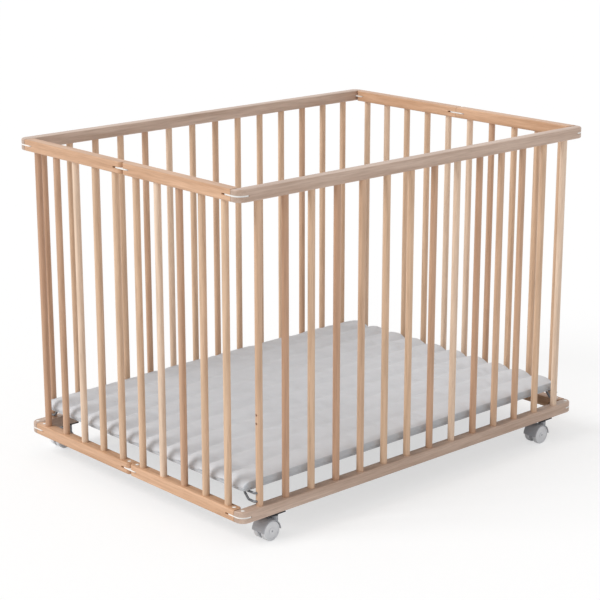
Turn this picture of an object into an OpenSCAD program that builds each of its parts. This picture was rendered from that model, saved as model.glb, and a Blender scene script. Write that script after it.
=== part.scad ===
// Folding wooden playpen on casters.
// X runs along the long sides, Y from the front side to the back side, Z up from the ground.
// The origin is on the ground, under the middle of the pen.

/* [Overall size] */
// Length over the long sides
length = 1024; // [850:1:1240]
// Width over the short sides
width = 744; // [620:1:900]
// Height of the top rails' upper face above the ground
height = 730; // [600:1:880]

/* [Rails] */
// Height of every rail
rail_h = 25; // [23:0.5:30]
// Depth of every rail, seen from above
rail_d = 25; // [23:0.5:30]
// Radius of the pen's outer corners, seen from above
corner_r = 20; // [10:1:22]
// Radius of the rails' eased edges
edge_r = 3; // [1:0.5:5]

/* [Bars] */
// Diameter of the round bars
bar_d = 15; // [12:0.5:18]
// Number of bars in a long side
long_bars = 14; // [11:1:16]
// Number of bars in half of a short side
half_bars = 5; // [4:1:6]
// Depth of the sockets that the bars are glued into
socket_depth = 9; // [6:0.5:9]
// From the pen's outer face to the middle of the first bar
first_bar = 57; // [53:0.5:64]
// From the middle of a short side to the middle of its last bar
last_bar = 35; // [35:0.5:42]

/* [Hinges] */
// Thickness of the hinge plates
plate_t = 3; // [2:0.25:4]
// Width of the hinge plates
plate_w = 24; // [20:0.5:24.4]
// Diameter of the hinge pins
pin_d = 6; // [4:0.5:8]
// Diameter of the pins' heads
head_d = 10; // [8.5:0.5:12]
// Thickness of the pins' heads
head_t = 0.8; // [0.5:0.1:1.5]
// Gap between the end of a short side and the long side
corner_gap = 1; // [0.5:0.1:1.5]
// Gap between the two halves of a short side
middle_gap = 1; // [0.5:0.1:2]
// Air between the folded halves
folded_gap = 1.5; // [1:0.1:3]

/* [Floor] */
// Height of the floor board's underside above the ground
floor_z = 108; // [106:1:180]
// Thickness of the floor board
board_t = 6; // [4:0.5:9]
// Thickness of the padded mat on the board
mat_t = 18; // [10:1:30]
// Air between the floor and the bars beside it
floor_gap = 6; // [3:0.5:12]

/* [Floor brackets] */
// Diameter of the brackets' steel wire
wire_d = 5; // [3:0.5:6]
// How far a bracket reaches in from its bar
bracket_reach = 30; // [24:1:40]
// How far the lower prong runs in before the wire slants up to the tip
bracket_knee = 12; // [8:1:16]
// Height between a bracket's two prongs
bracket_h = 18; // [14:0.5:20]
// How deep the prongs go into the bar
prong_depth = 9; // [5:0.5:10]
// How much higher the second pair of prong holes lies
floor_step = 164; // [100:1:200]

/* [Casters] */
// Height of the bottom rails' lower face above the ground
caster_h = 52; // [50:1:66]
// From the pen's end to the middle of a caster
caster_in = 95; // [88:1:140]
// Diameter of the caster wheels
wheel_d = 42; // [36:1:43]
// Thickness of one wheel
wheel_t = 12.5; // [10:0.5:16]
// How far the wheels' axle lies behind the swivel's axis
trail = 20; // [18:1:24]
// Diameter of the swivel's pintle
pintle_d = 7; // [5:0.5:8]
// Diameter of the wheels' axle
axle_d = 5; // [3:0.5:6]

/* [Hidden] */
$fn = 64;

wood = [0.83, 0.69, 0.56];
bar_wood = [0.86, 0.74, 0.62];
white_plastic = [0.93, 0.92, 0.90];
grey_plastic = [0.82, 0.82, 0.84];
dark_steel = [0.25, 0.25, 0.27];
steel = [0.62, 0.63, 0.65];
board_grey = [0.66, 0.66, 0.68];
mat_grey = [0.78, 0.78, 0.80];

// running clearance of a pin in a plate, and the wider one of the pivot that closes the frame
pin_play = 0.05;
open_play = 0.3;
// clearance of a pin, bar or prong in its glued or pressed hole
seat_play = 0.02;
plate_play = 0.2;
kerf_h = plate_t + 2 * plate_play;

half_l = length / 2;
half_w = width / 2;
bar_z0 = caster_h + rail_h;
bar_z1 = height - rail_h;
// bars are glued to the bottom of each socket
bar_l = bar_z1 - bar_z0 + 2 * socket_depth;
long_pitch = (length - 2 * first_bar) / (long_bars - 1);
half_pitch = (half_w - first_bar - last_bar) / (half_bars - 1);

// distances from the pen's outer face to the corner pins, and from the middle to the link pins
rail_mid = rail_d / 2;
corner_pin = 1.5 * rail_d + folded_gap;
link_pin = rail_mid + folded_gap;
// radius of the rounded rail ends, about their pins
corner_end = corner_pin - rail_d - corner_gap;
link_end = link_pin - middle_gap / 2;
// pins stop short of the rail's far face
pin_l = rail_h - 6;
kerf_reach = plate_w / 2 + 0.5;

// the floor fills the pen between its bars
floor_l = length - 2 * (rail_mid + bar_d / 2 + floor_gap);
floor_w = width - 2 * (rail_mid + bar_d / 2 + floor_gap);
board_inset = 3;
// air between the board and the wire that carries it
board_gap = 0.2;
wire_bend_r = 4;
// from a bar's axis to the plane of its bracket
bracket_offset = bar_d / 2 + wire_d / 2 + 2;
floor_r = 14;

caster_x = half_l - caster_in;
side_y = half_w - rail_mid;
wheel_r = wheel_d / 2;
wheel_z = wheel_r - caster_h;
caster_plate_t = 2.5;
caster_plate_l = 44;
caster_plate_w = rail_d - 3;
hood_top = -6;
hood_r = wheel_r + 2.4;
web_t = 9;
wheel_play = 0.6;
hood_w = web_t + 2 * (wheel_play + wheel_t) + 1;
pintle_l = 15;
boss_d = 17;
// air between a wheel and the hood around it
hood_air = 0.8;
axle_boss_r = 9;

// ---- places ----

// children drawn for the bottom rail, whose sockets face up, at the bottom or the top of the frame
module at_bottom() {
    translate([0, 0, caster_h]) children();
}

module at_top() {
    translate([0, 0, height]) mirror([0, 0, 1]) children();
}

module at_both_rails() {
    at_bottom() children();
    at_top() children();
}

module at_both_ends() {
    children();
    mirror([1, 0, 0]) children();
}

module at_caster(x_sign, y_sign) {
    translate([x_sign * caster_x, y_sign * side_y, caster_h]) children();
}

// ---- wooden rails, drawn with the face that takes the bars upwards ----

// a rectangle with rounded corners, from 0 to w and 0 to h
module rounded_rect(w, h, r) {
    translate([r, 0]) square([w - 2 * r, h]);
    translate([0, r]) square([w, h - 2 * r]);
    for (x = [r, w - r], y = [r, h - r])
        translate([x, y]) circle(r);
}

// a straight bar of rail section with eased edges, along X from x0 to x1, outer face at y = 0
module rail_along_x(x0, x1) {
    translate([x0, 0, 0])
        rotate([90, 0, 90])
            linear_extrude(x1 - x0) rounded_rect(rail_d, rail_h, edge_r);
}

// the round outer corner of a long rail, centred on its own axis, with eased edges
module round_corner() {
    rotate([0, 0, 180])
        rotate_extrude(angle = 90)
            intersection() {
                square([corner_r, rail_h]);
                translate([-corner_r, 0]) rounded_rect(2 * corner_r, rail_h, edge_r);
            }
}

// the part of a long rail's end that lies inside the round corner
module end_block() {
    intersection() {
        rail_along_x(-half_l, -half_l + corner_r);
        translate([-half_l, rail_d, 0])
            rotate([90, 0, 0])
                linear_extrude(rail_d - corner_r) rounded_rect(4 * corner_r, rail_h, edge_r);
    }
}

// a socket, bored down from the face that takes the bars
module socket() {
    translate([0, 0, rail_h - socket_depth])
        cylinder(d = bar_d + 2 * seat_play, h = socket_depth + 1);
}

module pin_hole() {
    translate([0, 0, rail_h - pin_l])
        cylinder(d = pin_d + 2 * seat_play, h = pin_l + 1);
}

// a saw kerf at the rail's middle height, for a hinge plate
module kerf(from, size) {
    translate([from[0], from[1], (rail_h - kerf_h) / 2]) cube([size[0], size[1], kerf_h]);
}

// the front long side's bottom rail, with its lower face at z = 0
module long_rail() {
    difference() {
        translate([0, -half_w, 0])
            union() {
                rail_along_x(-half_l + corner_r, half_l - corner_r);
                at_both_ends() {
                    translate([-half_l + corner_r, corner_r, 0]) round_corner();
                    end_block();
                }
            }
        for (i = [0:long_bars - 1])
            translate([-half_l + first_bar + i * long_pitch, -side_y, 0]) socket();
        at_both_ends() {
            translate([-half_l + rail_mid, -side_y, 0]) pin_hole();
            kerf([-half_l - 1, -half_w - 1], [rail_d + 1.5, rail_d + 2]);
        }
    }
}

// plan of half a short side's rail: the corner end is rounded inside, the middle end outside
module half_rail_plan() {
    y0 = -half_w + corner_pin;
    y1 = -link_pin;
    translate([-half_l, y0]) square([rail_d, y1 - y0]);
    translate([-half_l, y0 - corner_end]) square([rail_mid, corner_end]);
    translate([-half_l + rail_mid, y1]) square([rail_mid, link_end]);
    intersection() {
        union() {
            translate([-half_l + rail_mid, y0]) circle(corner_end);
            translate([-half_l + rail_mid, y1]) circle(link_end);
        }
        translate([-half_l, -half_w]) square([rail_d, half_w]);
    }
}

// the left front half's bottom rail, with its lower face at z = 0
module half_rail() {
    y0 = -half_w + corner_pin;
    difference() {
        intersection() {
            linear_extrude(rail_h) half_rail_plan();
            translate([-half_l + rail_d, 0, 0])
                rotate([0, 0, 90]) rail_along_x(-half_w, 0);
        }
        for (i = [0:half_bars - 1])
            translate([-half_l + rail_mid, -half_w + first_bar + i * half_pitch, 0]) socket();
        for (y = [y0, -link_pin])
            translate([-half_l + rail_mid, y, 0]) pin_hole();
        kerf([-half_l - 1, -half_w], [rail_d + 2, corner_pin + kerf_reach]);
        kerf([-half_l - 1, -link_pin - kerf_reach], [rail_d + 2, link_pin + kerf_reach]);
    }
}

// ---- bars ----

module bar() {
    translate([0, 0, bar_z0 - socket_depth]) cylinder(d = bar_d, h = bar_l);
}

// holes for a bracket's prongs, in the side of an end bar that faces the pen's corner
module prong_holes() {
    for (z = [bracket_z(), bracket_z() - bracket_h], step = [0, floor_step])
        translate([-bar_d / 2 - 1, 0, z + step])
            rotate([0, 90, 0]) cylinder(d = wire_d + 2 * seat_play, h = prong_depth + 1);
}

module long_side_bars() {
    for (i = [0:long_bars - 1])
        translate([-half_l + first_bar + i * long_pitch, -side_y, 0])
            difference() {
                bar();
                if (i == 0) prong_holes();
                if (i == long_bars - 1) mirror([1, 0, 0]) prong_holes();
            }
}

module half_side_bars() {
    for (i = [0:half_bars - 1])
        translate([-half_l + rail_mid, -half_w + first_bar + i * half_pitch, 0]) bar();
}

// ---- hinges ----

// a pin with a low domed head, pushed in from the face that takes the bars
module pin() {
    translate([0, 0, rail_h - pin_l]) cylinder(d = pin_d, h = pin_l);
    translate([0, 0, rail_h])
        rotate_extrude()
            intersection() {
                square([head_d / 2, head_t]);
                translate([0, head_t - head_d]) circle(head_d, $fn = 128);
            }
}

// a plate let into the end of a long rail, with its round end under the short side's pin
module corner_plate() {
    inset = (rail_d - plate_w) / 2;
    y0 = -half_w + corner_pin;
    translate([0, 0, (rail_h - plate_t) / 2])
        difference() {
            linear_extrude(plate_t) {
                difference() {
                    translate([-half_l + inset, -half_w + inset])
                        square([plate_w, corner_pin - inset]);
                    translate([-half_l, -half_w]) square([corner_r, corner_r]);
                }
                intersection() {
                    translate([-half_l + corner_r, -half_w + corner_r])
                        circle(corner_r - inset);
                    translate([-half_l, -half_w]) square([corner_r, corner_r]);
                }
                translate([-half_l + rail_mid, y0]) circle(plate_w / 2);
            }
            translate([-half_l + rail_mid, y0, -1])
                cylinder(d = pin_d + 2 * pin_play, h = plate_t + 2);
            translate([-half_l + rail_mid, -side_y, -1])
                cylinder(d = pin_d + 2 * seat_play, h = plate_t + 2);
        }
}

// the front long side's plates
module corner_plates() {
    at_both_rails()
        at_both_ends() corner_plate();
}

module plate_pins() {
    at_both_rails()
        at_both_ends()
            translate([-half_l + rail_mid, -side_y, 0]) pin();
}

module half_pins() {
    for (y = [-half_w + corner_pin, -link_pin])
        at_both_rails()
            translate([-half_l + rail_mid, y, 0]) pin();
}

// the plate that joins the two halves of the left short side; play is the front pin's
module link_plate(play) {
    translate([-half_l + rail_mid, 0, (rail_h - plate_t) / 2])
        difference() {
            linear_extrude(plate_t) {
                translate([-plate_w / 2, -link_pin]) square([plate_w, 2 * link_pin]);
                for (y = [-link_pin, link_pin])
                    translate([0, y]) circle(plate_w / 2);
            }
            translate([0, link_pin, -1]) cylinder(d = pin_d + 2 * pin_play, h = plate_t + 2);
            translate([0, -link_pin, -1]) cylinder(d = pin_d + 2 * play, h = plate_t + 2);
        }
}

// ---- floor ----

module floor_slab(inset, z0, z1) {
    l = floor_l - 2 * inset;
    w = floor_w - 2 * inset;
    translate([-l / 2, -w / 2, z0])
        linear_extrude(z1 - z0) rounded_rect(l, w, floor_r - inset);
}

// height of a bracket's upper prong, just under the board that it carries
function bracket_z() = floor_z - board_gap - wire_d / 2;

function unit(v) = v / norm(v);

// points along the bend from the line a-p into the line p-b, in steps of at most 30 degrees
function bend_points(a, p, b) =
    let(
        u = unit(p - a),
        v = unit(b - p),
        turn = acos(u * v),
        n = unit(v - u * cos(turn)),
        start = p - u * wire_bend_r * tan(turn / 2),
        steps = ceil(turn / 30)
    )
    [for (k = [0:steps])
        start + wire_bend_r * (n * (1 - cos(k * turn / steps)) + u * sin(k * turn / steps))];

function bent_path(points) = [
    points[0],
    for (i = [1:len(points) - 2])
        each bend_points(points[i - 1], points[i], points[i + 1]),
    points[len(points) - 1]
];

// round wire along a path
module wire(path) {
    for (i = [0:len(path) - 2])
        hull() {
            translate(path[i]) sphere(d = wire_d, $fn = 16);
            translate(path[i + 1]) sphere(d = wire_d, $fn = 16);
        }
}

// a triangle of bent wire beside its bar, which plugs into it and points at the pen's middle
module bracket() {
    tip = bar_d / 2 + bracket_reach;
    knee = bar_d / 2 + bracket_knee;
    z1 = bracket_z();
    z0 = z1 - bracket_h;
    x0 = prong_depth - bar_d / 2 - wire_d / 2;
    x1 = -bracket_offset;
    wire(bent_path([[x0, 0, z1], [x1, 0, z1], [x1, tip, z1], [x1, knee, z0], [x1, 0, z0], [x0, 0, z0]]));
}

module side_brackets() {
    at_both_ends()
        translate([-half_l + first_bar, -side_y, 0]) bracket();
}

// ---- casters, drawn about the swivel's axis under the rail's lower face ----

// the screwed-on plate with its pintle
module caster_plate() {
    difference() {
        translate([-caster_plate_l / 2, -caster_plate_w / 2, -caster_plate_t])
            cube([caster_plate_l, caster_plate_w, caster_plate_t]);
        for (x = caster_screw_x())
            translate([x, 0, -caster_plate_t - 1])
                cylinder(d = 4 + 2 * seat_play, h = caster_plate_t + 2);
    }
    translate([0, 0, -pintle_l]) cylinder(d = pintle_d, h = pintle_l);
}

function caster_screw_x() = [-caster_plate_l / 2 + 6, caster_plate_l / 2 - 6];

// low domed screw heads under the plate, with their shanks in it
module caster_screws() {
    for (x = caster_screw_x())
        translate([x, 0, 0]) {
            translate([0, 0, -caster_plate_t]) cylinder(d = 4, h = caster_plate_t);
            translate([0, 0, -caster_plate_t])
                mirror([0, 0, 1])
                    rotate_extrude()
                        intersection() {
                            square([3.6, 1.8]);
                            translate([0, 1.8 - 5]) circle(5);
                        }
        }
}

module side_caster_screws() {
    for (x_sign = [-1, 1])
        at_caster(x_sign, -1) caster_screws();
}

// a cylinder about the wheels' axle, from y0 to y1
module about_axle(r, y0, y1) {
    translate([-trail, y0, wheel_z])
        rotate([-90, 0, 0]) cylinder(r = r, h = y1 - y0);
}

// the hood: a fender over both wheels, a web between them and the boss that turns on the pintle
module caster_hood() {
    difference() {
        union() {
            difference() {
                about_axle(hood_r, -hood_w / 2, hood_w / 2);
                translate([-trail - 2 * hood_r, -hood_w, wheel_z - 2 * hood_r])
                    cube([4 * hood_r, 2 * hood_w, 2 * hood_r]);
            }
            about_axle(axle_boss_r, -web_t / 2, web_t / 2);
            translate([0, 0, wheel_z]) cylinder(d = boss_d, h = hood_top - wheel_z);
        }
        for (side = [-1, 1])
            about_axle(
                wheel_r + hood_air,
                side > 0 ? web_t / 2 : -2 * hood_w,
                side > 0 ? 2 * hood_w : -web_t / 2
            );
        translate([0, 0, -pintle_l - 0.5])
            cylinder(d = pintle_d + 2 * pin_play, h = pintle_l + 1);
        about_axle(axle_d / 2 + seat_play, -web_t, web_t);
    }
}

module caster_axle() {
    about_axle(axle_d / 2, -hood_w / 2 + 1.5, hood_w / 2 - 1.5);
}

// section of a wheel from its axis outwards: a rounded tread, a dished outer face and a bore
module wheel_section() {
    tread_r = 2.5;
    dish = [7, wheel_r - 4];
    difference() {
        union() {
            square([wheel_r - tread_r, wheel_t]);
            translate([0, tread_r]) square([wheel_r, wheel_t - 2 * tread_r]);
            for (y = [tread_r, wheel_t - tread_r])
                translate([wheel_r - tread_r, y]) circle(tread_r);
        }
        translate([-1, -1]) square([axle_d / 2 + pin_play + 1, wheel_t + 2]);
        translate([dish[0], wheel_t - 1.2]) square([dish[1] - dish[0], 2]);
    }
}

// one wheel; side is 1 for the wheel nearer the pen's middle and -1 for the outer one
module caster_wheel(side) {
    translate([-trail, 0, wheel_z])
        rotate([side * -90, 0, 0])
            translate([0, 0, web_t / 2 + wheel_play])
                rotate_extrude($fn = 96) wheel_section();
}

// ---- nodes ----

module front_top_rail() { color(wood) at_top() long_rail(); }
module front_bottom_rail() { color(wood) at_bottom() long_rail(); }
module front_bars() { color(bar_wood) long_side_bars(); }
module front_corner_plates() { color(white_plastic) corner_plates(); }
module front_plate_pins() { color(white_plastic) plate_pins(); }
module front_brackets() { color(steel) side_brackets(); }
module front_caster_screws() { color(steel) side_caster_screws(); }

module back_top_rail() { color(wood) mirror([0, 1, 0]) at_top() long_rail(); }
module back_bottom_rail() { color(wood) mirror([0, 1, 0]) at_bottom() long_rail(); }
module back_bars() { color(bar_wood) mirror([0, 1, 0]) long_side_bars(); }
module back_corner_plates() { color(white_plastic) mirror([0, 1, 0]) corner_plates(); }
module back_plate_pins() { color(white_plastic) mirror([0, 1, 0]) plate_pins(); }
module back_brackets() { color(steel) mirror([0, 1, 0]) side_brackets(); }
module back_caster_screws() { color(steel) mirror([0, 1, 0]) side_caster_screws(); }

module left_front_top_rail() { color(wood) at_top() half_rail(); }
module left_front_bottom_rail() { color(wood) at_bottom() half_rail(); }
module left_front_bars() { color(bar_wood) half_side_bars(); }
module left_front_pins() { color(white_plastic) half_pins(); }

module left_back_top_rail() { color(wood) mirror([0, 1, 0]) at_top() half_rail(); }
module left_back_bottom_rail() { color(wood) mirror([0, 1, 0]) at_bottom() half_rail(); }
module left_back_bars() { color(bar_wood) mirror([0, 1, 0]) half_side_bars(); }
module left_back_pins() { color(white_plastic) mirror([0, 1, 0]) half_pins(); }

module right_front_top_rail() { color(wood) mirror([1, 0, 0]) at_top() half_rail(); }
module right_front_bottom_rail() { color(wood) mirror([1, 0, 0]) at_bottom() half_rail(); }
module right_front_bars() { color(bar_wood) mirror([1, 0, 0]) half_side_bars(); }
module right_front_pins() { color(white_plastic) mirror([1, 0, 0]) half_pins(); }

module right_back_top_rail() { color(wood) rotate([0, 0, 180]) at_top() half_rail(); }
module right_back_bottom_rail() { color(wood) rotate([0, 0, 180]) at_bottom() half_rail(); }
module right_back_bars() { color(bar_wood) rotate([0, 0, 180]) half_side_bars(); }
module right_back_pins() { color(white_plastic) rotate([0, 0, 180]) half_pins(); }

// the frame's loop is closed at the right plates' front pin, which has the wider play
module left_link_top() { color(white_plastic) at_top() link_plate(pin_play); }
module left_link_bottom() { color(white_plastic) at_bottom() link_plate(pin_play); }
module right_link_top() {
    color(white_plastic) mirror([1, 0, 0]) at_top() link_plate(open_play);
}
module right_link_bottom() {
    color(white_plastic) mirror([1, 0, 0]) at_bottom() link_plate(open_play);
}

module floor_board() { color(board_grey) floor_slab(board_inset, floor_z, floor_z + board_t); }
module floor_mat() {
    color(mat_grey) floor_slab(0, floor_z + board_t, floor_z + board_t + mat_t);
}

module front_left_caster_plate() { color(dark_steel) at_caster(-1, -1) caster_plate(); }
module front_left_caster_hood() { color(grey_plastic) at_caster(-1, -1) caster_hood(); }
module front_left_caster_axle() { color(steel) at_caster(-1, -1) caster_axle(); }
module front_left_wheel_near() { color(grey_plastic) at_caster(-1, -1) caster_wheel(-1); }
module front_left_wheel_far() { color(grey_plastic) at_caster(-1, -1) caster_wheel(1); }

module front_right_caster_plate() { color(dark_steel) at_caster(1, -1) caster_plate(); }
module front_right_caster_hood() { color(grey_plastic) at_caster(1, -1) caster_hood(); }
module front_right_caster_axle() { color(steel) at_caster(1, -1) caster_axle(); }
module front_right_wheel_near() { color(grey_plastic) at_caster(1, -1) caster_wheel(-1); }
module front_right_wheel_far() { color(grey_plastic) at_caster(1, -1) caster_wheel(1); }

module back_left_caster_plate() { color(dark_steel) at_caster(-1, 1) caster_plate(); }
module back_left_caster_hood() { color(grey_plastic) at_caster(-1, 1) caster_hood(); }
module back_left_caster_axle() { color(steel) at_caster(-1, 1) caster_axle(); }
module back_left_wheel_near() { color(grey_plastic) at_caster(-1, 1) caster_wheel(-1); }
module back_left_wheel_far() { color(grey_plastic) at_caster(-1, 1) caster_wheel(1); }

module back_right_caster_plate() { color(dark_steel) at_caster(1, 1) caster_plate(); }
module back_right_caster_hood() { color(grey_plastic) at_caster(1, 1) caster_hood(); }
module back_right_caster_axle() { color(steel) at_caster(1, 1) caster_axle(); }
module back_right_wheel_near() { color(grey_plastic) at_caster(1, 1) caster_wheel(-1); }
module back_right_wheel_far() { color(grey_plastic) at_caster(1, 1) caster_wheel(1); }

front_top_rail();
front_bottom_rail();
front_bars();
front_corner_plates();
front_plate_pins();
front_brackets();
front_caster_screws();
back_top_rail();
back_bottom_rail();
back_bars();
back_corner_plates();
back_plate_pins();
back_brackets();
back_caster_screws();
left_front_top_rail();
left_front_bottom_rail();
left_front_bars();
left_front_pins();
left_back_top_rail();
left_back_bottom_rail();
left_back_bars();
left_back_pins();
right_front_top_rail();
right_front_bottom_rail();
right_front_bars();
right_front_pins();
right_back_top_rail();
right_back_bottom_rail();
right_back_bars();
right_back_pins();
left_link_top();
left_link_bottom();
right_link_top();
right_link_bottom();
floor_board();
floor_mat();
front_left_caster_plate();
front_left_caster_hood();
front_left_caster_axle();
front_left_wheel_near();
front_left_wheel_far();
front_right_caster_plate();
front_right_caster_hood();
front_right_caster_axle();
front_right_wheel_near();
front_right_wheel_far();
back_left_caster_plate();
back_left_caster_hood();
back_left_caster_axle();
back_left_wheel_near();
back_left_wheel_far();
back_right_caster_plate();
back_right_caster_hood();
back_right_caster_axle();
back_right_wheel_near();
back_right_wheel_far();
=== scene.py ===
import math

import bpy
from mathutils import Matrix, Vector, noise


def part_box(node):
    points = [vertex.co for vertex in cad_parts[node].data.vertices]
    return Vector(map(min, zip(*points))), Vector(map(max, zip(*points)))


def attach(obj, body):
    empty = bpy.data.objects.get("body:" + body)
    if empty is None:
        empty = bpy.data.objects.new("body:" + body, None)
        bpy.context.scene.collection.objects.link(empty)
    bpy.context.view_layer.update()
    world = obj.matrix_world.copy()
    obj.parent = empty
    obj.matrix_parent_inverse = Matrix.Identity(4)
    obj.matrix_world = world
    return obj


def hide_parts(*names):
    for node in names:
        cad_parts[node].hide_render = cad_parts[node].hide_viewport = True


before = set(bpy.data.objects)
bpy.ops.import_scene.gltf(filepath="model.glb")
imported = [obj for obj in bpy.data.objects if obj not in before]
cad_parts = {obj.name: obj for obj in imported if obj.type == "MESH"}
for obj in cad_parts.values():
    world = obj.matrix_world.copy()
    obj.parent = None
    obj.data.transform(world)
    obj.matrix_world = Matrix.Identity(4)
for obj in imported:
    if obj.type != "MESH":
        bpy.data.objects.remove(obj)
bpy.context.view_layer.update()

bl_info = {
    "name": "Folding playpen",
    "version": (1, 0, 0),
    "blender": (4, 5, 0),
    "location": "View3D > Sidebar > Playpen",
    "description": "Finishes, quilted floor pad and studio for a folding wooden playpen",
    "category": "Object",
}

MM = 0.001
SIDES = ("front", "back")
ENDS = ("left", "right")
WHEELS = ("near", "far")


def linear(hex_colour):
    """A colour written as sRGB hex, in the linear values that Blender's shaders take."""
    channels = [int(hex_colour[i:i + 2], 16) / 255 for i in (1, 3, 5)]
    return [c / 12.92 if c <= 0.04045 else ((c + 0.055) / 1.055) ** 2.4 for c in channels]


# ---- sizes and colours that a user would change ----


def colour(name, description, hex_colour):
    return bpy.props.FloatVectorProperty(
        name=name,
        description=description,
        default=linear(hex_colour),
        subtype="COLOR",
        size=3,
        min=0,
        max=1,
    )


def length(name, description, metres):
    return bpy.props.FloatProperty(
        name=name, description=description, default=metres, subtype="DISTANCE", unit="LENGTH"
    )


class PlaypenWood(bpy.types.PropertyGroup):
    # painted light: each pair is early and late wood, but the long rails are greyer and the short rails
    # warmer because their seen faces lie out of and in the key light on the left
    long_light: colour("Long rails, light", "Early wood of the front and back rails", "#D2B9A8")
    long_dark: colour("Long rails, dark", "Late wood of the front and back rails", "#B99D8A")
    short_light: colour("Short rails, light", "Early wood of the left and right rails", "#DAB08E")
    short_dark: colour("Short rails, dark", "Late wood of the left and right rails", "#BF9370")
    bar_pale: colour("Bar, pale", "The palest bars", "#E6CDB6")
    bar_mid: colour("Bar, medium", "Most of the bars", "#D8B799")
    bar_deep: colour("Bar, deep", "The darkest bars", "#C0977A")
    ring_width: length("Ring width", "Distance between two growth rings", 5 * MM)
    bar_pitch: length("Bar spacing", "Distance between the middles of two bars", 70 * MM)


class PlaypenFittings(bpy.types.PropertyGroup):
    nylon: colour("Hinge plates", "Natural white nylon", "#F1EFEB")
    hood: colour("Caster hood", "Grey moulded plastic", "#B0B2B7")
    wheel: colour("Caster wheel", "Pale grey moulded plastic", "#E0E1E4")
    zinc: colour("Zinc", "Bright zinc plating", "#C8CBCF")
    wire: colour("Bracket wire", "Dull zinc on the bracket wire", "#85878B")
    black_steel: colour("Caster plate", "Blackened steel", "#2A2A2D")


class PlaypenPad(bpy.types.PropertyGroup):
    channels: bpy.props.IntProperty(
        name="Channels", description="Quilted channels across the pad", default=10, min=4, max=16
    )
    seam_depth: length("Seam depth", "How deep the seams pull in at the short ends", 11 * MM)
    middle_depth: length("Middle depth", "How deep the seams pull in far from the ends", 0.8 * MM)
    fade: length("Fade", "Distance over which the seams flatten out", 120 * MM)
    edge_radius: length("Edge radius", "Rounding where the channels turn down", 15 * MM)
    cover: colour("Cover", "Coated cloth on top of the pad", "#D0D2D6")
    # painted shade: the band is a real cloth band, given a darker grey than the cover because the pad's
    # long sides lie in shade
    shaded_boxing: colour("Boxing", "Cloth band along the pad's long sides", "#BDC1C6")
    # painted shade: the board's cloth takes the darker grey of the pad's shaded side
    board: colour("Board cover", "Cloth that wraps the floor board", "#BDC1C6")


class PlaypenStudio(bpy.types.PropertyGroup):
    floor: colour("Floor", "Seamless paper floor", "#FFFFFF")
    key: bpy.props.FloatProperty(
        name="Key light", description="Strength of the broad lamp on the left", default=1.75, min=0
    )
    fill: bpy.props.FloatProperty(
        name="Fill light", description="Strength of the light from all round", default=0.62, min=0
    )
    glow: bpy.props.FloatProperty(
        name="Floor glow", description="How far the floor's shadow fades to white", default=0.6, max=1
    )
    lens: bpy.props.FloatProperty(
        name="Lens", description="Focal length of the camera, in mm", default=105.4, unit="CAMERA"
    )


# ---- materials ----


def add_node(tree, kind, inputs=None, **settings):
    """Adds a node. inputs holds a value or an output socket for each of its input sockets."""
    node = tree.nodes.new(kind)
    for name, value in settings.items():
        setattr(node, name, value)
    for name, value in (inputs or {}).items():
        if isinstance(value, bpy.types.NodeSocket):
            tree.links.new(value, node.inputs[name])
        else:
            node.inputs[name].default_value = value
    return node


def new_material(name):
    """An empty material with its tree, its shader and the coordinates of the object's own space."""
    material = bpy.data.materials.new(name)
    material.use_nodes = True
    tree = material.node_tree
    shader = tree.nodes["Principled BSDF"]
    place = add_node(tree, "ShaderNodeTexCoord").outputs["Object"]
    return material, tree, shader, place


def rgba(rgb):
    return (*rgb, 1)


def ramp(tree, factor, stops):
    """A colour ramp through (place, colour) stops."""
    node = add_node(tree, "ShaderNodeValToRGB", {"Fac": factor})
    elements = node.color_ramp.elements
    while len(elements) < len(stops):
        elements.new(0.5)
    for element, (place, stop_colour) in zip(elements, stops):
        element.position = place
        element.color = rgba(stop_colour)
    return node.outputs["Color"]


def mixed(tree, factor, first, second, blend="MIX"):
    """Two colours mixed by a factor; each is a colour or an output socket."""
    node = add_node(tree, "ShaderNodeMix", data_type="RGBA", blend_type=blend)
    for index, value in ((0, factor), (6, first), (7, second)):
        if isinstance(value, bpy.types.NodeSocket):
            tree.links.new(value, node.inputs[index])
        else:
            node.inputs[index].default_value = value
    return node.outputs[2]


def bump(tree, shader, height, strength, distance):
    node = add_node(
        tree, "ShaderNodeBump", {"Height": height, "Strength": strength, "Distance": distance}
    )
    tree.links.new(node.outputs["Normal"], shader.inputs["Normal"])


def dress(node_name, material):
    """Gives a CAD node its material."""
    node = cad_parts[node_name]
    node.data.materials.clear()
    node.data.materials.append(material)


def grained(tree, place, axis, seed, across):
    """Coordinates stretched along a board's grain, so that one unit is `across` metres across it."""
    along = 0.045
    scale = [1 / across] * 3
    scale["XYZ".index(axis)] *= along
    return add_node(
        tree,
        "ShaderNodeMapping",
        {"Vector": place, "Location": (3.7 * seed, 1.9 * seed, 5.3 * seed), "Scale": scale},
    ).outputs["Vector"]


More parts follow.
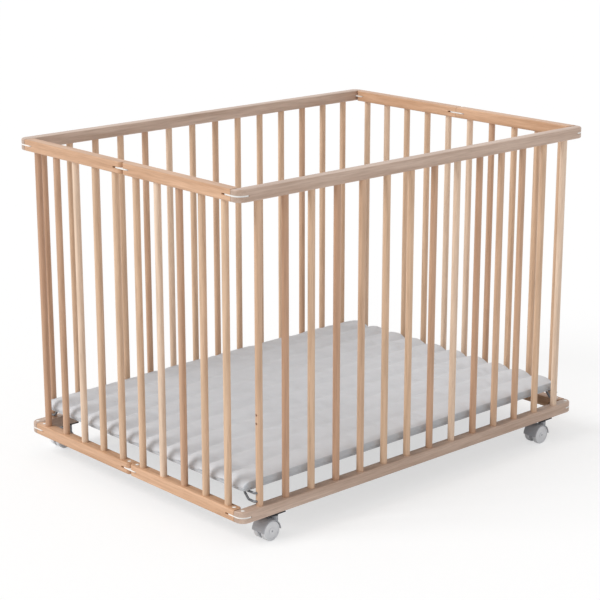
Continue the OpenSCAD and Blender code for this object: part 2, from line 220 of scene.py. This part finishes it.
def beech_surface(tree, shader, place, axis, seed, dark, body_colour):
    """Fleck, pores, end grain and lacquer of beech over a body colour."""
    # medullary flecks: short darker dashes along the grain, drawn 1.5 mm wide so that they show
    fleck_place = grained(tree, place, axis, seed + 7, 1.5 * MM)
    fleck = add_node(tree, "ShaderNodeTexNoise", {"Vector": fleck_place, "Scale": 1, "Detail": 2})
    fleck_mask = add_node(
        tree,
        "ShaderNodeMapRange",
        {"Value": fleck.outputs["Fac"], "From Min": 0.58, "From Max": 0.72, "To Max": 0.32},
    ).outputs["Result"]
    with_fleck = mixed(tree, fleck_mask, body_colour, rgba([c * 0.62 for c in dark]))
    # end grain drinks more lacquer and looks darker
    normal = add_node(tree, "ShaderNodeTexCoord").outputs["Normal"]
    along = add_node(tree, "ShaderNodeSeparateXYZ", {"Vector": normal}).outputs[axis]
    squared = add_node(tree, "ShaderNodeMath", {0: along, 1: along}, operation="MULTIPLY").outputs[0]
    facing = add_node(tree, "ShaderNodeMath", {0: squared, 1: 3}, operation="POWER").outputs[0]
    end_mask = add_node(tree, "ShaderNodeMath", {0: facing, 1: 0.35}, operation="MULTIPLY").outputs[0]
    final = mixed(tree, end_mask, with_fleck, rgba([c * 0.6 for c in dark]))
    tree.links.new(final, shader.inputs["Base Color"])
    # satin lacquer: an even sheen that follows the wood's fine relief
    gloss = add_node(
        tree,
        "ShaderNodeMapRange",
        {"Value": fleck.outputs["Fac"], "To Min": 0.36, "To Max": 0.5},
    )
    tree.links.new(gloss.outputs["Result"], shader.inputs["Roughness"])
    shader.inputs["IOR"].default_value = 1.5
    shader.inputs["Coat Weight"].default_value = 0.12
    shader.inputs["Coat Roughness"].default_value = 0.3
    bump(tree, shader, fleck.outputs["Fac"], 0.25, 0.15 * MM)


def lacquered_beech_rail(name, axis, seed, wood, light, dark):
    """Sawn beech under satin lacquer: straight, faint rings along the board, each board its own."""
    material, tree, shader, place = new_material(name)
    ring_place = grained(tree, place, axis, seed, 3 * wood.ring_width)
    rings = add_node(tree, "ShaderNodeTexNoise", {"Vector": ring_place, "Scale": 1, "Detail": 3})
    fine_place = grained(tree, place, axis, seed + 3, wood.ring_width / 2)
    fine = add_node(tree, "ShaderNodeTexNoise", {"Vector": fine_place, "Scale": 1, "Detail": 4})
    middle = [(a + b) / 2 for a, b in zip(light, dark)]
    stops = [(0.3, dark), (0.5, middle), (0.68, light)]
    body = ramp(tree, rings.outputs["Fac"], stops)
    streak = ramp(tree, fine.outputs["Fac"], [(0.35, (0.86, 0.84, 0.82)), (0.6, (1, 1, 1))])
    body = mixed(tree, 1.0, body, streak, "MULTIPLY")
    beech_surface(tree, shader, place, axis, seed, dark, body)
    return material


def lacquered_beech_bar(name, seed, wood):
    """Turned beech under satin lacquer: every bar is cut from another board, so its tone differs."""
    material, tree, shader, place = new_material(name)
    pitch = wood.bar_pitch
    cell = add_node(
        tree, "ShaderNodeVectorMath", {0: place, 1: (pitch, pitch, 10)}, operation="SNAP"
    )
    shifted = add_node(
        tree, "ShaderNodeVectorMath", {0: cell.outputs[0], 1: (seed, 0, 0)}, operation="ADD"
    )
    chance = add_node(
        tree, "ShaderNodeTexWhiteNoise", {"Vector": shifted.outputs[0]}, noise_dimensions="3D"
    )
    stops = [(0.0, wood.bar_deep), (0.3, wood.bar_mid), (0.65, wood.bar_mid), (1.0, wood.bar_pale)]
    tone = ramp(tree, chance.outputs["Value"], stops)
    # each bar's grain starts elsewhere
    own_place = add_node(
        tree, "ShaderNodeVectorMath", {0: place, 1: chance.outputs["Color"]}, operation="ADD"
    ).outputs[0]
    ring_place = grained(tree, own_place, "Z", seed, 1.2 * wood.ring_width)
    rings = add_node(tree, "ShaderNodeTexNoise", {"Vector": ring_place, "Scale": 1, "Detail": 4})
    streak = ramp(tree, rings.outputs["Fac"], [(0.3, (0.8, 0.77, 0.74)), (0.62, (1.03, 1.02, 1.01))])
    body = mixed(tree, 1.0, tone, streak, "MULTIPLY")
    beech_surface(tree, shader, own_place, "Z", seed, wood.bar_deep, body)
    return material


def moulded_plastic(name, rgb, roughness, texture_size):
    """Injection moulded plastic: one even colour, a soft gloss and the mould's fine spark texture."""
    material, tree, shader, place = new_material(name)
    fine = add_node(
        tree, "ShaderNodeTexNoise", {"Vector": place, "Scale": 1 / texture_size, "Detail": 3}
    )
    cloudy = add_node(tree, "ShaderNodeTexNoise", {"Vector": place, "Scale": 60, "Detail": 2})
    worn = ramp(
        tree, cloudy.outputs["Fac"], [(0.3, [c * 0.93 for c in rgb]), (0.65, list(rgb))]
    )
    tree.links.new(worn, shader.inputs["Base Color"])
    gloss = add_node(
        tree,
        "ShaderNodeMapRange",
        {"Value": fine.outputs["Fac"], "To Min": roughness - 0.06, "To Max": roughness + 0.08},
    )
    tree.links.new(gloss.outputs["Result"], shader.inputs["Roughness"])
    shader.inputs["IOR"].default_value = 1.53
    bump(tree, shader, fine.outputs["Fac"], 0.12, 0.05 * MM)
    return material


def plated_steel(name, rgb, roughness):
    """Zinc plated wire and screws: a cold bright metal, slightly cloudy where the bath marked it."""
    material, tree, shader, place = new_material(name)
    cloud = add_node(tree, "ShaderNodeTexNoise", {"Vector": place, "Scale": 220, "Detail": 4})
    tone = ramp(tree, cloud.outputs["Fac"], [(0.3, [c * 0.8 for c in rgb]), (0.7, list(rgb))])
    tree.links.new(tone, shader.inputs["Base Color"])
    shader.inputs["Metallic"].default_value = 1
    gloss = add_node(
        tree,
        "ShaderNodeMapRange",
        {"Value": cloud.outputs["Fac"], "To Min": roughness - 0.08, "To Max": roughness + 0.12},
    )
    tree.links.new(gloss.outputs["Result"], shader.inputs["Roughness"])
    bump(tree, shader, cloud.outputs["Fac"], 0.1, 0.05 * MM)
    return material


def blackened_steel(name, rgb):
    """Chemically blackened sheet steel: nearly black, with a dull oily sheen."""
    material, tree, shader, place = new_material(name)
    cloud = add_node(tree, "ShaderNodeTexNoise", {"Vector": place, "Scale": 150, "Detail": 5})
    tone = ramp(tree, cloud.outputs["Fac"], [(0.3, [c * 0.7 for c in rgb]), (0.7, [c * 1.3 for c in rgb])])
    tree.links.new(tone, shader.inputs["Base Color"])
    shader.inputs["Metallic"].default_value = 0.6
    gloss = add_node(
        tree, "ShaderNodeMapRange", {"Value": cloud.outputs["Fac"], "To Min": 0.4, "To Max": 0.6}
    )
    tree.links.new(gloss.outputs["Result"], shader.inputs["Roughness"])
    return material


def coated_cloth(name, rgb, thread_pitch, crease, relief_strength=0.25):
    """Woven polyester with a wipe-clean coating: a fine weave under a dull film, with soft creases."""
    material, tree, shader, place = new_material(name)
    # the weave is drawn 1.4 mm wide where the real threads are 0.4 mm, so that it shows
    waves = [
        add_node(
            tree,
            "ShaderNodeTexWave",
            {"Vector": place, "Scale": 1 / thread_pitch / 6.2832 * 2, "Distortion": 0.4, "Detail": 1},
            bands_direction=direction,
        ).outputs["Fac"]
        for direction in ("X", "Y")
    ]
    weave = add_node(tree, "ShaderNodeMath", {0: waves[0], 1: waves[1]}, operation="MAXIMUM").outputs[0]
    folds = add_node(
        tree, "ShaderNodeTexNoise", {"Vector": place, "Scale": 1 / crease, "Detail": 5, "Distortion": 0.6}
    ).outputs["Fac"]
    # painted shade: the colour darkens where the fold noise is low, in the crease hollows that the bump
    # draws
    tone = ramp(tree, folds, [(0.3, [c * 0.93 for c in rgb]), (0.62, list(rgb))])
    # painted shade: the gaps between the threads, which the bump sinks, are drawn darker
    thread_gap_shade = ramp(tree, weave, [(0.0, (0.95, 0.95, 0.95)), (0.8, (1, 1, 1))])
    body = mixed(tree, 1.0, tone, thread_gap_shade, "MULTIPLY")
    tree.links.new(body, shader.inputs["Base Color"])
    shader.inputs["Roughness"].default_value = 0.62
    shader.inputs["IOR"].default_value = 1.46
    shader.inputs["Sheen Weight"].default_value = 0.08
    shader.inputs["Sheen Roughness"].default_value = 0.5
    relief = add_node(tree, "ShaderNodeMath", {0: weave, 1: 0.12}, operation="MULTIPLY").outputs[0]
    height = add_node(tree, "ShaderNodeMath", {0: folds, 1: relief}, operation="ADD").outputs[0]
    bump(tree, shader, height, relief_strength, 1.1 * MM)
    return material


def seamless_paper(name, rgb, glow):
    """Matt white studio paper: no gloss, and part of its white stays unshaded, so shadows are pale."""
    material, tree, shader, place = new_material(name)
    fibre = add_node(tree, "ShaderNodeTexNoise", {"Vector": place, "Scale": 40, "Detail": 3})
    tone = ramp(tree, fibre.outputs["Fac"], [(0.3, [c * 0.995 for c in rgb]), (0.7, list(rgb))])
    tree.links.new(tone, shader.inputs["Base Color"])
    shader.inputs["Roughness"].default_value = 1
    shader.inputs["Specular IOR Level"].default_value = 0
    light = add_node(tree, "ShaderNodeEmission", {"Color": rgba(rgb), "Strength": 1})
    seen = add_node(tree, "ShaderNodeLightPath").outputs["Is Camera Ray"]
    share = add_node(tree, "ShaderNodeMath", {0: seen, 1: glow}, operation="MULTIPLY").outputs[0]
    both = add_node(
        tree, "ShaderNodeMixShader", {0: share, 1: shader.outputs["BSDF"], 2: light.outputs["Emission"]}
    )
    tree.links.new(both.outputs["Shader"], tree.nodes["Material Output"].inputs["Surface"])
    return material


# ---- mesh helpers ----


def new_piece(name, points, faces, material, body):
    """A mesh piece that rides on a CAD body."""
    mesh = bpy.data.meshes.new(name)
    mesh.from_pydata(points, [], faces)
    mesh.materials.append(material)
    mesh.validate()
    for face in mesh.polygons:
        face.use_smooth = True
    piece = bpy.data.objects.new(name, mesh)
    bpy.context.scene.collection.objects.link(piece)
    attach(piece, body)
    return piece


# ---- the quilted floor pad ----

PAD_STEP = 9 * MM
ROWS_A_CHANNEL = 8
SIDE_ROWS = 5


class PadShape:
    """The pad's box, its seams and the grid of points that its cover is made from."""

    def __init__(self, settings):
        low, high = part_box("floor_mat")
        self.half_x = high.x - 1 * MM
        self.half_y = high.y - 1 * MM
        self.bottom = low.z
        self.top = high.z
        self.channels = settings.channels
        self.end_depth = settings.seam_depth
        self.middle_depth = settings.middle_depth
        self.fade = settings.fade
        self.edge = settings.edge_radius
        self.columns = round(2 * self.half_x / PAD_STEP)
        self.rows = self.channels * ROWS_A_CHANNEL
        self.corner = 9 * MM
        self.scallop = 7 * MM
        self.side_drop = 6 * MM

    def is_seam(self, row):
        return row % ROWS_A_CHANNEL == 0

    def crown(self, row):
        """How far a row lies up the curve of its channel, from 0 at a seam to 1 in the middle."""
        share = (row % ROWS_A_CHANNEL) / ROWS_A_CHANNEL
        return math.sin(math.pi * share) ** 0.7

    def depth(self, x):
        """How deep the seams pull the cover in at x: most at the short ends, little in the middle."""
        near_end = math.exp(-(self.half_x - abs(x)) / self.fade)
        return self.middle_depth + (self.end_depth - self.middle_depth) * near_end

    def rounded(self, x, y):
        """Moves a point of the rectangle so that the pad's corners are round, seen from above."""
        over_x = abs(x) - (self.half_x - self.corner)
        over_y = abs(y) - (self.half_y - self.corner)
        if over_x <= 0 or over_y <= 0:
            return x, y
        shrink = max(over_x, over_y) / math.hypot(over_x, over_y)
        return (
            math.copysign(self.half_x - self.corner + over_x * shrink, x),
            math.copysign(self.half_y - self.corner + over_y * shrink, y),
        )

    def point(self, column, row):
        """A point of the cover's upper side."""
        scallop = self.scallop * (1 - self.crown(row)) if 0 < row < self.rows else 0
        half_x = self.half_x - scallop
        share = 2 * column / self.columns - 1
        x = half_x * share
        y = self.half_y * (2 * row / self.rows - 1)
        end = min(1, (half_x - abs(x)) / self.edge)
        rise = math.sqrt(1 - (1 - end) ** 2)
        crest = self.top - self.depth(x) * (1 - self.crown(row))
        if row in (0, self.rows):
            crest = self.top - self.side_drop
        z = self.bottom + (crest - self.bottom) * (0.4 + 0.6 * rise)
        x, y = self.rounded(x, y)
        pucker = noise.noise(Vector((x * 9, y * 40, 3.1))) * 0.15 * MM
        near_seam = 1 - self.crown(row)
        near_end = self.depth(x) / self.end_depth
        pucker += noise.noise(Vector((x * 150, y * 20, 8.4))) * 0.9 * MM * near_seam * near_end
        return Vector((x, y, z + (0 if self.is_seam(row) else pucker)))


def pad_outline(shape):
    """Grid places round the cover's edge, in order, seen from above."""
    last_column, last_row = shape.columns, shape.rows
    front = [(i, 0) for i in range(last_column)]
    right = [(last_column, j) for j in range(last_row)]
    back = [(i, last_row) for i in range(last_column, 0, -1)]
    left = [(0, j) for j in range(last_row, 0, -1)]
    return front + right + back + left


def build_pad_mesh(shape):
    """Points, faces, held points and boxing faces of the pad's cover before it is filled."""
    width = shape.rows + 1
    points = [
        shape.point(i, j) for i in range(shape.columns + 1) for j in range(shape.rows + 1)
    ]
    faces = [
        (i * width + j, (i + 1) * width + j, (i + 1) * width + j + 1, i * width + j + 1)
        for i in range(shape.columns)
        for j in range(shape.rows)
    ]
    held = {
        i * width + j
        for i in range(shape.columns + 1)
        for j in range(shape.rows + 1)
        if shape.is_seam(j)
    }
    shaded_boxing = []
    outline = pad_outline(shape)
    above = [i * width + j for i, j in outline]
    count = len(outline)
    for k in range(1, SIDE_ROWS + 1):
        ring = []
        for n, (i, j) in enumerate(outline):
            start = points[i * width + j]
            share = k / SIDE_ROWS
            run = points[above[(n + 1) % count]] - points[above[n - 1]]
            outward = Vector((run.y, -run.x, 0)).normalized()
            swell = 1.2 * MM * math.sin(math.pi * share)
            gather = noise.noise(Vector((start.x * 80, start.y * 80, share * 2))) * 1.1 * MM * share
            place = Vector((start.x, start.y, start.z + (shape.bottom - start.z) * share))
            ring.append(len(points))
            points.append(place + outward * (swell + (gather if k < SIDE_ROWS else 0)))
        for n, (i, j) in enumerate(outline):
            # the cover itself turns down over the short ends; the long sides have a band, coloured darker
            # as painted shade
            if (j == 0 and i < shape.columns) or (j == shape.rows and i > 0):
                shaded_boxing.append(len(faces))
            faces.append((above[n], ring[n], ring[(n + 1) % count], above[(n + 1) % count]))
        above = ring
    held.update(above)
    faces.append(tuple(above))
    return points, faces, sorted(held), shaded_boxing


def fill_with_wadding(piece, held, pressure, most):
    """Swells the cover between its held seams by cloth simulation, as wadding does.

    No point moves further than `most`.
    """
    group = piece.vertex_groups.new(name="held")
    group.add(held, 1, "REPLACE")
    cloth = piece.modifiers.new("wadding", "CLOTH")
    cloth.settings.vertex_group_mass = group.name
    cloth.settings.use_pressure = True
    cloth.settings.uniform_pressure_force = pressure
    cloth.settings.shrink_min = -0.035
    cloth.settings.effector_weights.gravity = 0
    cloth.settings.quality = 4
    cloth.point_cache.frame_end = 20
    for number in range(1, 21):
        bpy.context.scene.frame_set(number)
    swollen = piece.evaluated_get(bpy.context.evaluated_depsgraph_get())
    places = [point.co.copy() for point in swollen.data.vertices]
    piece.modifiers.remove(cloth)
    piece.vertex_groups.remove(group)
    bpy.context.scene.frame_set(1)
    for point, place in zip(piece.data.vertices, places):
        move = place - point.co
        if move.length > most:
            move *= most / move.length
        point.co += move


def round_off(piece, sharp_edges):
    """Adds subdivision that keeps the given edges sharp, and applies it."""
    crease = piece.data.attributes.new("crease_edge", "FLOAT", "EDGE")
    for edge in sharp_edges:
        crease.data[edge].value = 0.8
    modifier = piece.modifiers.new("round", "SUBSURF")
    modifier.levels = modifier.render_levels = 1
    whole = piece.evaluated_get(bpy.context.evaluated_depsgraph_get())
    mesh = bpy.data.meshes.new_from_object(whole)
    piece.modifiers.remove(modifier)
    old, piece.data = piece.data, mesh
    bpy.data.meshes.remove(old)


# ---- operators ----


class PLAYPEN_OT_rails(bpy.types.Operator):
    """Finishes every rail in lacquered beech, each one cut from its own board"""

    bl_idname = "playpen.rails"
    bl_label = "Rails"

    def execute(self, context):
        wood = context.scene.playpen_wood
        seed = 1
        for level in ("top", "bottom"):
            # painted light: the front and back rails take the greyer colours of faces out of the key
            # light, the end rails the warmer colours of faces lit by it
            rails = [(f"{side}_{level}_rail", "X", wood.long_light, wood.long_dark) for side in SIDES]
            rails += [
                (f"{end}_{side}_{level}_rail", "Y", wood.short_light, wood.short_dark)
                for end in ENDS
                for side in SIDES
            ]
            for name, axis, light, dark in rails:
                board = lacquered_beech_rail(f"lacquered_beech_{name}", axis, seed, wood, light, dark)
                dress(name, board)
                seed += 1
        return {"FINISHED"}


class PLAYPEN_OT_bars(bpy.types.Operator):
    """Finishes the round bars in lacquered beech, with a tone of its own for each bar"""

    bl_idname = "playpen.bars"
    bl_label = "Bars"

    def execute(self, context):
        wood = context.scene.playpen_wood
        groups = [f"{side}_bars" for side in SIDES]
        groups += [f"{end}_{side}_bars" for end in ENDS for side in SIDES]
        for seed, name in enumerate(groups, 1):
            dress(name, lacquered_beech_bar(f"lacquered_beech_{name}", seed, wood))
        return {"FINISHED"}


class PLAYPEN_OT_hinges(bpy.types.Operator):
    """Finishes the hinge plates and their pins in white nylon"""

    bl_idname = "playpen.hinges"
    bl_label = "Hinges"

    def execute(self, context):
        nylon = moulded_plastic(
            "moulded_white_nylon", context.scene.playpen_fittings.nylon, 0.4, 0.8 * MM
        )
        names = [f"{side}_{part}" for side in SIDES for part in ("corner_plates", "plate_pins")]
        names += [f"{end}_{side}_pins" for end in ENDS for side in SIDES]
        names += [f"{end}_link_{level}" for end in ENDS for level in ("top", "bottom")]
        for name in names:
            dress(name, nylon)
        return {"FINISHED"}


class PLAYPEN_OT_brackets(bpy.types.Operator):
    """Finishes the wire brackets that carry the floor in dull zinc"""

    bl_idname = "playpen.brackets"
    bl_label = "Floor brackets"

    def execute(self, context):
        wire = plated_steel("dull_zinc_wire", context.scene.playpen_fittings.wire, 0.42)
        for side in SIDES:
            dress(f"{side}_brackets", wire)
        return {"FINISHED"}


class PLAYPEN_OT_casters(bpy.types.Operator):
    """Finishes the casters: plastic hoods and wheels, zinc axles and screws, blackened plates"""

    bl_idname = "playpen.casters"
    bl_label = "Casters"

    def execute(self, context):
        fittings = context.scene.playpen_fittings
        hood = moulded_plastic("moulded_grey_nylon", fittings.hood, 0.4, 1.0 * MM)
        wheel = moulded_plastic("moulded_pale_grey_nylon", fittings.wheel, 0.34, 1.2 * MM)
        plate = blackened_steel("blackened_sheet_steel", fittings.black_steel)
        zinc = plated_steel("bright_zinc_steel", fittings.zinc, 0.35)
        for side in SIDES:
            dress(f"{side}_caster_screws", zinc)
            for end in ENDS:
                caster = f"{side}_{end}"
                dress(f"{caster}_caster_hood", hood)
                dress(f"{caster}_caster_axle", zinc)
                dress(f"{caster}_caster_plate", plate)
                for place in WHEELS:
                    dress(f"{caster}_wheel_{place}", wheel)
        return {"FINISHED"}


class PLAYPEN_OT_board(bpy.types.Operator):
    """Wraps the floor board under the pad in grey cloth"""

    bl_idname = "playpen.board"
    bl_label = "Floor board"

    def execute(self, context):
        # painted shade: the board cloth is coloured the darker grey of the shaded side under the pad
        cloth = coated_cloth("shaded_board_cover_cloth", context.scene.playpen_pad.board, 1.4 * MM, 60 * MM)
        dress("floor_board", cloth)
        return {"FINISHED"}


class PLAYPEN_OT_pad(bpy.types.Operator):
    """Makes the quilted pad: a wadded cover with sewn channels and a band on its long sides"""

    bl_idname = "playpen.pad"
    bl_label = "Quilted pad"

    def execute(self, context):
        settings = context.scene.playpen_pad
        shape = PadShape(settings)
        points, faces, held, shaded_boxing = build_pad_mesh(shape)
        cover = coated_cloth("coated_quilt_cloth", settings.cover, 1.4 * MM, 70 * MM)
        piece = new_piece("quilted_pad", points, faces, cover, "floor")
        # painted shade: the band's cloth is a darker grey than the cover, for the shade on the pad's long
        # sides
        piece.data.materials.append(
            coated_cloth("coated_shaded_boxing_cloth", settings.shaded_boxing, 1.4 * MM, 22 * MM, 0.45)
        )
        for face in shaded_boxing:
            piece.data.polygons[face].material_index = 1
        fill_with_wadding(piece, held, 4, 1.6 * MM)
        width = shape.rows + 1
        covered = width * (shape.columns + 1)
        seams = [
            edge.index
            for edge in piece.data.edges
            if max(edge.vertices) < covered
            and abs(edge.vertices[0] - edge.vertices[1]) == width
            and shape.is_seam(edge.vertices[0] % width)
            and 0 < edge.vertices[0] % width < shape.rows
            and abs(points[edge.vertices[0]].x) > shape.half_x - shape.fade
        ]
        round_off(piece, seams)
        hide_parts("floor_mat")
        return {"FINISHED"}


class PLAYPEN_OT_studio(bpy.types.Operator):
    """Sets the paper floor, the lights and the camera"""

    bl_idname = "playpen.studio"
    bl_label = "Studio"

    def execute(self, context):
        studio = context.scene.playpen_studio
        scene = context.scene
        reach = 40
        mesh = bpy.data.meshes.new("studio_floor")
        corners = [(-reach, -reach, 0), (reach, -reach, 0), (reach, reach, 0), (-reach, reach, 0)]
        mesh.from_pydata(corners, [], [(0, 1, 2, 3)])
        mesh.materials.append(seamless_paper("seamless_paper", studio.floor, studio.glow))
        floor = bpy.data.objects.new("studio_floor", mesh)
        scene.collection.objects.link(floor)

        world = bpy.data.worlds.new("studio_air")
        world.use_nodes = True
        scene.world = world
        tree = world.node_tree
        sky = tree.nodes["Background"]
        sky.inputs["Color"].default_value = (1, 1, 1, 1)
        path = add_node(tree, "ShaderNodeLightPath").outputs
        seen = path["Is Camera Ray"]
        for name in ("Is Glossy Ray", "Is Transmission Ray"):
            either = add_node(tree, "ShaderNodeMath", {0: seen, 1: path[name]}, operation="MAXIMUM")
            seen = either.outputs[0]
        strength = add_node(
            tree, "ShaderNodeMapRange", {"Value": seen, "To Min": studio.fill, "To Max": 1}
        )
        tree.links.new(strength.outputs["Result"], sky.inputs["Strength"])

        key = bpy.data.lights.new("key", "SUN")
        key.energy = studio.key
        key.angle = math.radians(28)
        lamp = bpy.data.objects.new("key", key)
        lamp.rotation_mode = "QUATERNION"
        lamp.rotation_quaternion = Vector((0.7, -0.3, -0.75)).to_track_quat("-Z", "Y")
        scene.collection.objects.link(lamp)

        camera_data = bpy.data.cameras.new("camera")
        camera_data.lens = studio.lens
        camera_data.sensor_width = 36
        camera_data.clip_end = 200
        camera = bpy.data.objects.new("camera", camera_data)
        camera.location = (-2.6004, -2.8394, 1.4294)
        heading, down = 0.8329, 0.275
        aim = Vector(
            (math.cos(heading) * math.cos(down), math.sin(heading) * math.cos(down), -math.sin(down))
        )
        camera.rotation_mode = "QUATERNION"
        camera.rotation_quaternion = aim.to_track_quat("-Z", "Y")
        scene.collection.objects.link(camera)
        scene.camera = camera
        scene.view_settings.view_transform = "Standard"
        return {"FINISHED"}


class PLAYPEN_PT_panel(bpy.types.Panel):
    """Lists what the add-on makes"""

    bl_idname = "PLAYPEN_PT_panel"
    bl_label = "Folding playpen"
    bl_space_type = "VIEW_3D"
    bl_region_type = "UI"
    bl_category = "Playpen"

    def draw(self, context):
        for group in SETTINGS:
            settings = getattr(context.scene, group)
            box = self.layout.box()
            for name in settings.bl_rna.properties.keys():
                if name not in ("rna_type", "name"):
                    box.prop(settings, name)
        for operator in OPERATORS:
            self.layout.operator(operator.bl_idname)


SETTINGS = {
    "playpen_wood": PlaypenWood,
    "playpen_fittings": PlaypenFittings,
    "playpen_pad": PlaypenPad,
    "playpen_studio": PlaypenStudio,
}
OPERATORS = (
    PLAYPEN_OT_rails,
    PLAYPEN_OT_bars,
    PLAYPEN_OT_hinges,
    PLAYPEN_OT_brackets,
    PLAYPEN_OT_casters,
    PLAYPEN_OT_board,
    PLAYPEN_OT_pad,
    PLAYPEN_OT_studio,
)


def register():
    for group in SETTINGS.values():
        bpy.utils.register_class(group)
    for name, group in SETTINGS.items():
        setattr(bpy.types.Scene, name, bpy.props.PointerProperty(type=group))
    for operator in OPERATORS:
        bpy.utils.register_class(operator)
    bpy.utils.register_class(PLAYPEN_PT_panel)


def unregister():
    bpy.utils.unregister_class(PLAYPEN_PT_panel)
    for operator in reversed(OPERATORS):
        bpy.utils.unregister_class(operator)
    for name in SETTINGS:
        delattr(bpy.types.Scene, name)
    for group in reversed(SETTINGS.values()):
        bpy.utils.unregister_class(group)


def main():
    register()
    for operator in OPERATORS:
        family, action = operator.bl_idname.split(".")
        getattr(getattr(bpy.ops, family), action)()


if __name__ == "__main__":
    main()
